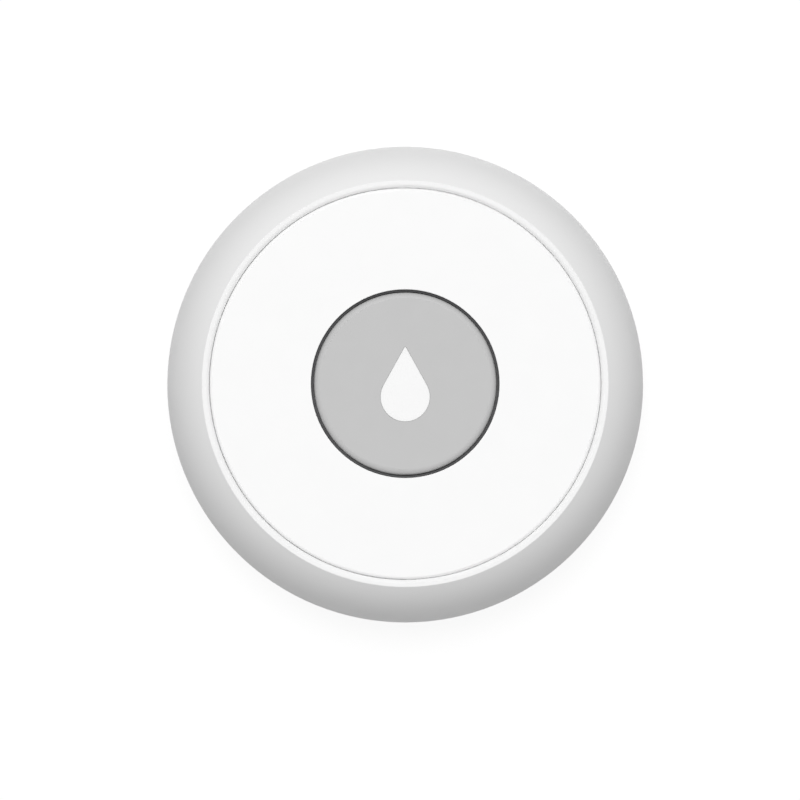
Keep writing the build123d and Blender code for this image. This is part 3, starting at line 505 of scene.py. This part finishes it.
# How far in from the head's edge and up from its face the rounded crown bends
head_crown = [(0.5 * mm, 0), (0.22 * mm, 0.14 * mm), (0.05 * mm, 0.42 * mm), (0, 0.8 * mm)]
head_chamfer = 0.1 * mm
neck_taper = 0.3 * mm
point_length = 0.7 * mm
point_radius = 0.45 * mm
recess_arm = 1.25 * mm
recess_width = 0.52 * mm
recess_depth = 0.85 * mm
recess_taper = 0.55
tip_tolerance = 0.01 * mm
screw_pitch = 0.9 * mm
screw_ridge_width = 0.22 * mm
screw_ridge_start = screw_seat + 5.2 * mm
screw_ridge_end = screw_tip - 0.9 * mm
screw_ridge_steps = 24


def screw_blank(mesh):
    """Head, neck and pointed core of a screw on the puck's axis, with an open face."""
    outline = [(screw_head_radius - inset, screw_face + height) for inset, height in head_crown]
    outline += [
        (screw_head_radius, screw_seat - head_chamfer), (screw_head_radius - head_chamfer, screw_seat),
        (screw_major, screw_seat), (screw_major, screw_ridge_start - neck_taper),
        (screw_core, screw_ridge_start), (screw_core, screw_tip - point_length), (point_radius, screw_tip),
    ]
    verts = [mesh.verts.new((r, 0, z)) for r, z in outline]
    edges = [mesh.edges.new(pair) for pair in zip(verts, verts[1:])]
    bmesh.ops.spin(
        mesh, geom=verts + edges, cent=(0, 0, 0), axis=(0, 0, 1), angle=tau, steps=screw_segments,
        use_merge=True,
    )
    tip_edges = [e for e in mesh.edges if e.is_boundary and e.verts[0].co.z > screw_tip - tip_tolerance]
    bmesh.ops.holes_fill(mesh, edges=tip_edges, sides=0)


def cut_recess(mesh):
    """Closes the head's open face round a cross recess."""
    rim_edges = [e for e in mesh.edges if e.is_boundary]
    square = bmesh.ops.create_grid(mesh, x_segments=1, y_segments=1, size=recess_width / 2)["verts"]
    bmesh.ops.translate(mesh, verts=square, vec=(0, 0, screw_face))
    middle_face = square[0].link_faces[0]
    cross = [middle_face]
    for edge in list(middle_face.edges):
        middle = (edge.verts[0].co + edge.verts[1].co) / 2
        outward = Vector((middle.x, middle.y, 0)).normalized() * (recess_arm - recess_width / 2)
        grown = bmesh.ops.extrude_edge_only(mesh, edges=[edge])["geom"]
        bmesh.ops.translate(mesh, verts=verts_of(grown), vec=outward)
        cross += faces_of(grown)
    cross_edges = rim_of(mesh, cross)
    sunk = verts_of(bmesh.ops.extrude_face_region(mesh, geom=cross)["geom"])
    bmesh.ops.delete(mesh, geom=cross, context="FACES_KEEP_BOUNDARY")
    bmesh.ops.translate(mesh, verts=sunk, vec=(0, 0, recess_depth))
    bmesh.ops.scale(mesh, vec=(recess_taper, recess_taper, 1), verts=sunk)
    bmesh.ops.triangle_fill(mesh, edges=rim_edges + cross_edges, use_beauty=True)


def make_screws():
    """Four screws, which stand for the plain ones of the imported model."""
    mesh = bmesh.new()
    screw_blank(mesh)
    cut_recess(mesh)
    turns = (screw_ridge_end - screw_ridge_start) / screw_pitch
    ridge(
        mesh, screw_core, screw_major - screw_core, screw_ridge_width, screw_ridge_start, screw_pitch,
        sweep=turns * tau, steps=round(turns * screw_ridge_steps),
    )
    turn_round_axis(mesh, mesh.verts, radians(screw_angle))
    bmesh.ops.translate(mesh, verts=mesh.verts, vec=(screw_circle, 0, 0))
    copies_round(mesh, screw_count)
    screws = finish_piece(mesh, "case_screws_threaded", "housing", "screw_steel")
    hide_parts("case_screws")


# Thread of the battery cover: three ridges on its plug and three in the bore of the base
thread_starts = 3
thread_lead = 6.0 * mm
thread_height = 0.34 * mm
thread_width = 0.25 * mm
thread_step = 3
plug_radius = 13.6 * mm
plug_thread_low = 3.3 * mm
plug_thread_start = 20
plug_thread_sweep = 72
bore_radius = 14.2 * mm
bore_thread_shift = 35
bore_thread_low = 2.75 * mm + thread_lead * bore_thread_shift / 360
bore_thread_sweep = 79


def thread_ridges(radius, height, low, start, sweep):
    """The ridges of the battery cover's thread, evenly round the puck's axis. Angles are in degrees."""
    mesh = bmesh.new()
    ridge(
        mesh, radius, height, thread_width, low, thread_lead,
        sweep=radians(sweep), steps=round(sweep / thread_step),
    )
    turn_round_axis(mesh, mesh.verts, radians(start))
    copies_round(mesh, thread_starts)
    return mesh


def make_cover_thread():
    """Ridges round the plug of the battery cover."""
    mesh = thread_ridges(plug_radius, thread_height, plug_thread_low, plug_thread_start, plug_thread_sweep)
    finish_piece(mesh, "cover_thread", "cover", "cover_white")


def make_bore_thread():
    """Ridges in the bore of the base, a little under those of the cover."""
    start = plug_thread_start + bore_thread_shift
    mesh = thread_ridges(bore_radius, -thread_height, bore_thread_low, start, bore_thread_sweep)
    finish_piece(mesh, "bore_thread", "housing", "base_white")


# Marks in relief beside the battery cover: a dot for shut, a ring for open and an arrow between them
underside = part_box("battery_cover")[0].z
relief = 0.35 * mm
sink = 0.05 * mm
relief_round = 0.3 * relief
mark_segments = 32
mark_circle = 17.95 * mm
pointer_circle = 14.9 * mm
shut_angle = 90
open_angle = 50
dot_radius = 0.6 * mm
ring_radius = 0.9 * mm
ring_hole = 0.5 * mm
arrow_width = 0.5 * mm
arrow_head_width = 1.7 * mm
arrow_head_length = 1.9 * mm
arrow_angles = (84, 63)
arrow_steps = 16


def stand_down(mesh, faces):
    """Gives flat faces at height zero their thickness, so that they stand down from the underside."""
    bmesh.ops.recalc_face_normals(mesh, faces=faces)
    grown = bmesh.ops.extrude_face_region(mesh, geom=faces)["geom"]
    high = [v for v in mesh.verts if any(f in faces for f in v.link_faces)]
    bmesh.ops.translate(mesh, verts=high, vec=(0, 0, underside + sink))
    bmesh.ops.translate(mesh, verts=verts_of(grown), vec=(0, 0, underside - relief))
    bmesh.ops.bevel(
        mesh, geom=rim_of(mesh, faces_of(grown)), offset=relief_round, affect="EDGES", segments=2,
        profile=0.5, material=-1,
    )


def dot_mark(mesh, radius, circle, angle, hole=0.0):
    """A low round stud, or a ring where it has a hole."""
    whole = bmesh.ops.create_circle(mesh, cap_ends=not hole, radius=radius, segments=mark_segments)["verts"]
    if hole:
        whole = whole + bmesh.ops.create_circle(mesh, radius=hole, segments=mark_segments)["verts"]
        bmesh.ops.bridge_loops(mesh, edges=touching(mesh.edges, whole))
    bmesh.ops.translate(mesh, verts=whole, vec=polar(circle, angle))
    stand_down(mesh, touching(mesh.faces, whole))


def arrow_mark(mesh):
    """A bent bar with a pointed head that shows which way the cover opens."""
    start, end = arrow_angles
    bar = (-arrow_width / 2, arrow_width / 2)
    head = (-arrow_head_width / 2, arrow_head_width / 2)
    verts = [mesh.verts.new(polar(mark_circle + side, start)) for side in bar]
    edge = mesh.edges.new(verts)
    made = bmesh.ops.spin(
        mesh, geom=[edge, *verts], cent=(0, 0, 0), axis=(0, 0, 1), angle=radians(end - start),
        steps=arrow_steps,
    )
    inner, outer = sorted(verts_of(made["geom_last"]), key=lambda v: v.co.length)
    barbs = [mesh.verts.new(polar(mark_circle + side, end)) for side in head]
    tip = mesh.verts.new(polar(mark_circle, end) - polar(arrow_head_length, end + 90))
    mesh.faces.new((inner, barbs[0], tip, barbs[1], outer))
    stand_down(mesh, mesh.faces[:])


def make_base_marks():
    """Shut, open and the way between them, on the base."""
    mesh = bmesh.new()
    arrow_mark(mesh)
    dot_mark(mesh, dot_radius, mark_circle, shut_angle)
    dot_mark(mesh, ring_radius, mark_circle, open_angle, hole=ring_hole)
    finish_piece(mesh, "base_marks", "housing", "base_white")


def make_cover_pointer():
    """The dot on the cover that stands at the dot for shut."""
    mesh = bmesh.new()
    dot_mark(mesh, dot_radius, pointer_circle, shut_angle)
    finish_piece(mesh, "cover_pointer", "cover", "cover_white")


# Solder, resistors and test pads on the circuit board, and plated edges on the radio module
board_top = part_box("circuit_board")[1].z
terminal_low, terminal_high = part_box("switch_terminals")
lamp_low, lamp_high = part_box("status_lamp")
module_low, module_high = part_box("radio_board")
terminal_inset = 0.35 * mm
lamp_pad_place = 0.7 * mm
joint_radius = 0.42 * mm
joint_height = 0.28 * mm
resistor_joint_radius = 0.28 * mm
resistor_joint_height = 0.16 * mm
capacitor_joint_radius = 0.36 * mm
capacitor_circles = (25.4 * mm, 27.0 * mm)
capacitor_angles = range(300, 331, 5)
resistor_length = 0.98 * mm
resistor_width = 0.5 * mm
resistor_height = 0.35 * mm
resistor_edge = 0.05 * mm
resistor_end = 0.22 * mm
end_proud = 0.02 * mm
end_top_proud = 0.03 * mm
end_edge = 0.04 * mm
resistor_places = [(x * mm, y * mm) for x in (-10.5, -7.5, 7.5, 10.5) for y in (-3.4, -5.4, -7.4)]
test_pad_places = [(3.0 * x * mm, 7.6 * mm) for x in (-2, -1, 0, 1, 2)]
test_pad_radius = 0.62 * mm
test_pad_top_radius = 0.6 * mm
test_pad_thickness = 0.06 * mm
test_pad_lift = 0.02 * mm
module_width = 14.6 * mm
edge_pad_radius = 0.4 * mm
edge_pad_pitch = 1.27 * mm
edge_pad_steps = range(-4, 5)
edge_pad_height = 0.84 * mm
edge_pad_lift = 0.41 * mm


def solder_bead(mesh, x, y, radius, height):
    """A low bead of solder on the board."""
    made = bmesh.ops.create_uvsphere(mesh, u_segments=12, v_segments=8, radius=radius)["verts"]
    bmesh.ops.scale(mesh, vec=(1, 1, height / radius), verts=made)
    bmesh.ops.translate(mesh, verts=made, vec=(x, y, board_top))


def chip_block(mesh, x, y, size, edge):
    """A small block on the board with softened edges."""
    made = bmesh.ops.create_cube(mesh, size=1)["verts"]
    bmesh.ops.scale(mesh, vec=size, verts=made)
    bmesh.ops.translate(mesh, verts=made, vec=(x, y, board_top + size[2] / 2))
    bmesh.ops.bevel(
        mesh, geom=touching(mesh.edges, made), offset=edge, affect="EDGES", segments=2, profile=0.5,
        material=-1,
    )


def pad_disc(mesh, place, low_radius, high_radius, thickness, segments):
    """A round pad centred on a place."""
    made = bmesh.ops.create_cone(
        mesh, cap_ends=True, segments=segments, radius1=low_radius, radius2=high_radius, depth=thickness,
    )["verts"]
    bmesh.ops.translate(mesh, verts=made, vec=place)


def make_solder():
    """Beads at the feet of the switch, the status lamp, the resistors and the capacitors."""
    mesh = bmesh.new()
    terminal_ys = (terminal_low.y + terminal_inset, terminal_high.y - terminal_inset)
    joints = [(x, y) for x in (terminal_low.x, terminal_high.x) for y in terminal_ys]
    joints += [(x, y) for x in (lamp_low.x, lamp_high.x) for y in (-lamp_pad_place, lamp_pad_place)]
    for x, y in joints:
        solder_bead(mesh, x, y, joint_radius, joint_height)
    for x, y in resistor_places:
        for side in (-1, 1):
            end = x + side * resistor_length / 2
            solder_bead(mesh, end, y, resistor_joint_radius, resistor_joint_height)
    for angle in capacitor_angles:
        for radius in capacitor_circles:
            place = polar(radius, angle)
            solder_bead(mesh, place.x, place.y, capacitor_joint_radius, joint_height)
    finish_piece(mesh, "solder_beads", "housing", "contact_nickel", solder)


def make_resistors():
    """Thick-film resistors: a dark body with plated ends that stand a little proud."""
    bodies = bmesh.new()
    ends = bmesh.new()
    end_size = (
        resistor_end + 2 * end_proud, resistor_width + 2 * end_proud, resistor_height + end_top_proud,
    )
    for x, y in resistor_places:
        chip_block(bodies, x, y, (resistor_length, resistor_width, resistor_height), resistor_edge)
        for side in (-1, 1):
            centre = x + side * (resistor_length - resistor_end) / 2
            chip_block(ends, centre, y, end_size, end_edge)
    finish_piece(bodies, "resistor_bodies", "housing", "chip_black")
    finish_piece(ends, "resistor_ends", "housing", "contact_nickel")


def make_test_pads():
    """Gold discs that a test rig touches."""
    mesh = bmesh.new()
    for x, y in test_pad_places:
        place = (x, y, board_top + test_pad_lift)
        pad_disc(mesh, place, test_pad_radius, test_pad_top_radius, test_pad_thickness, segments=28)
    finish_piece(mesh, "test_pads", "housing", "track_gold")


def make_module_edges():
    """Plated pads, half sunk in the two long sides of the radio module."""
    mesh = bmesh.new()
    centre = (module_low + module_high) / 2
    outward = polar(1, 45)
    along = polar(1, 135)
    length = (module_high.x - module_low.x) / cos(radians(45)) - module_width
    for side in (-1, 1):
        for step in edge_pad_steps:
            place = centre + outward * side * length / 2 + along * step * edge_pad_pitch
            place.z = board_top + edge_pad_lift
            pad_disc(mesh, place, edge_pad_radius, edge_pad_radius, edge_pad_height, segments=16)
    finish_piece(mesh, "module_edge_pads", "housing", "track_gold")


# Studio: pale floor, white room, a large soft lamp above, a weaker one below, and the photograph's camera
floor_size = 4.0
floor_glow = 0.88
# The floor's glow to the camera where the puck stands closest over it, and how near the puck must be to dim
# it: a painted contact shadow
floor_glow_in_painted_shadow = 0.3
painted_shadow_reach = 3.2 * mm
floor_grey = 0.14
room_light = 0.37


def shows(tree, path):
    """1 for rays from the camera, in reflections and through clear pieces, and 0 for all others."""
    seen = maths(tree, "MAXIMUM", path.outputs["Is Camera Ray"], path.outputs["Is Glossy Ray"])
    return maths(tree, "MAXIMUM", seen, path.outputs["Is Transmission Ray"])


def floor_material():
    """A floor that shows to the camera and in reflections, and keeps the object's soft shadow.

    For the camera its own white fades where the puck stands close over it, a painted contact shadow, so that
    the puck rests on its feet.
    From below it is clear.
    """
    material = bpy.data.materials.new("floor")
    material.use_nodes = True
    tree = material.node_tree
    tree.nodes.clear()
    path = tree.nodes.new("ShaderNodeLightPath")
    # For camera rays the glow is dimmed by ambient occlusion near the puck: a painted contact shadow
    openness = add_node(tree, "ShaderNodeAmbientOcclusion", Distance=painted_shadow_reach)
    level = tree.nodes.new("ShaderNodeMapRange")
    level.inputs["To Max"].default_value = floor_glow
    tree.links.new(openness.outputs["AO"], level.inputs["Value"])
    covered = between(tree, path.outputs["Is Camera Ray"], floor_glow, floor_glow_in_painted_shadow)
    tree.links.new(covered, level.inputs["To Min"])
    glow = add_node(tree, "ShaderNodeEmission", Color=(1, 1, 1, 1))
    tree.links.new(level.outputs["Result"], glow.inputs["Strength"])
    matt = add_node(tree, "ShaderNodeBsdfDiffuse", Color=(*grey(floor_grey), 1))
    shown = tree.nodes.new("ShaderNodeAddShader")
    tree.links.new(glow.outputs[0], shown.inputs[0])
    tree.links.new(matt.outputs[0], shown.inputs[1])
    side = tree.nodes.new("ShaderNodeNewGeometry")
    above = maths(tree, "SUBTRACT", shows(tree, path), side.outputs["Backfacing"], use_clamp=True)
    clear = tree.nodes.new("ShaderNodeBsdfTransparent")
    out = tree.nodes.new("ShaderNodeOutputMaterial")
    tree.links.new(mix_shaders(tree, above, clear, shown).outputs[0], out.inputs["Surface"])
    return material


def make_floor():
    """The plain floor that the puck stands on."""
    mesh = bmesh.new()
    bmesh.ops.create_grid(mesh, x_segments=1, y_segments=1, size=floor_size)
    data = bpy.data.meshes.new("floor")
    mesh.to_mesh(data)
    mesh.free()
    data.materials.append(floor_material())
    floor = bpy.data.objects.new("floor", data)
    scene.collection.objects.link(floor)


def make_room():
    """White to the camera and in reflections, and soft light from all round to everything else."""
    world = bpy.data.worlds.new("room")
    scene.world = world
    world.use_nodes = True
    tree = world.node_tree
    tree.nodes.clear()
    light = add_node(tree, "ShaderNodeBackground", Strength=room_light, Color=(1, 1, 1, 1))
    white = add_node(tree, "ShaderNodeBackground", Strength=1.0, Color=(1, 1, 1, 1))
    path = tree.nodes.new("ShaderNodeLightPath")
    out = tree.nodes.new("ShaderNodeOutputWorld")
    mixed = mix_shaders(tree, shows(tree, path), light, white)
    tree.links.new(mixed.outputs[0], out.inputs["Surface"])


def make_softbox(name, distance, width, level, tilt, turn):
    """A round soft lamp, tilt off the vertical and turned anticlockwise from the back.

    Its level is how bright it makes a white surface that faces it.
    """
    lamp = bpy.data.objects.new(name, bpy.data.lights.new(name, "AREA"))
    lamp.data.shape = "DISK"
    lamp.data.size = width
    lamp.data.energy = pi * pi * distance * distance * level
    aside = sin(radians(tilt)) * distance
    lamp.location = (-sin(radians(turn)) * aside, cos(radians(turn)) * aside, cos(radians(tilt)) * distance)
    lamp.rotation_mode = "QUATERNION"
    lamp.rotation_quaternion = (-lamp.location).to_track_quat("-Z", "Y")
    scene.collection.objects.link(lamp)


def make_camera():
    """Straight above the face but for a hair towards the front, through a long lens."""
    photo_size = 800
    object_pixels = 477
    centre_pixel = (405.2, 383.7)
    elevation = radians(89.3)
    low, high = cad_box
    width = (high.x - low.x) * photo_size / object_pixels
    lens = bpy.data.cameras.new("camera")
    lens.lens = 1200
    lens.clip_start = 0.01
    lens.clip_end = 40
    distance = width * lens.lens / lens.sensor_width
    pixel = width / photo_size
    aside = (photo_size / 2 - centre_pixel[0]) * pixel
    up = (centre_pixel[1] - photo_size / 2) * pixel
    back = Vector((0, -cos(elevation), sin(elevation)))
    camera = bpy.data.objects.new("camera", lens)
    camera.location = Vector((aside, up, high.z)) + back * distance
    camera.rotation_mode = "QUATERNION"
    camera.rotation_quaternion = (-back).to_track_quat("-Z", "Y")
    scene.collection.objects.link(camera)
    scene.camera = camera


dress_nodes()
make_screws()
make_cover_thread()
make_bore_thread()
make_base_marks()
make_cover_pointer()
make_solder()
make_resistors()
make_test_pads()
make_module_edges()
make_floor()
make_room()
make_softbox("key", distance=4.5, width=2.7, level=0.725, tilt=18, turn=7)
make_softbox("fill_below", distance=3.0, width=2.2, level=0.44, tilt=170, turn=0)
make_camera()
scene.view_settings.view_transform = "Standard"
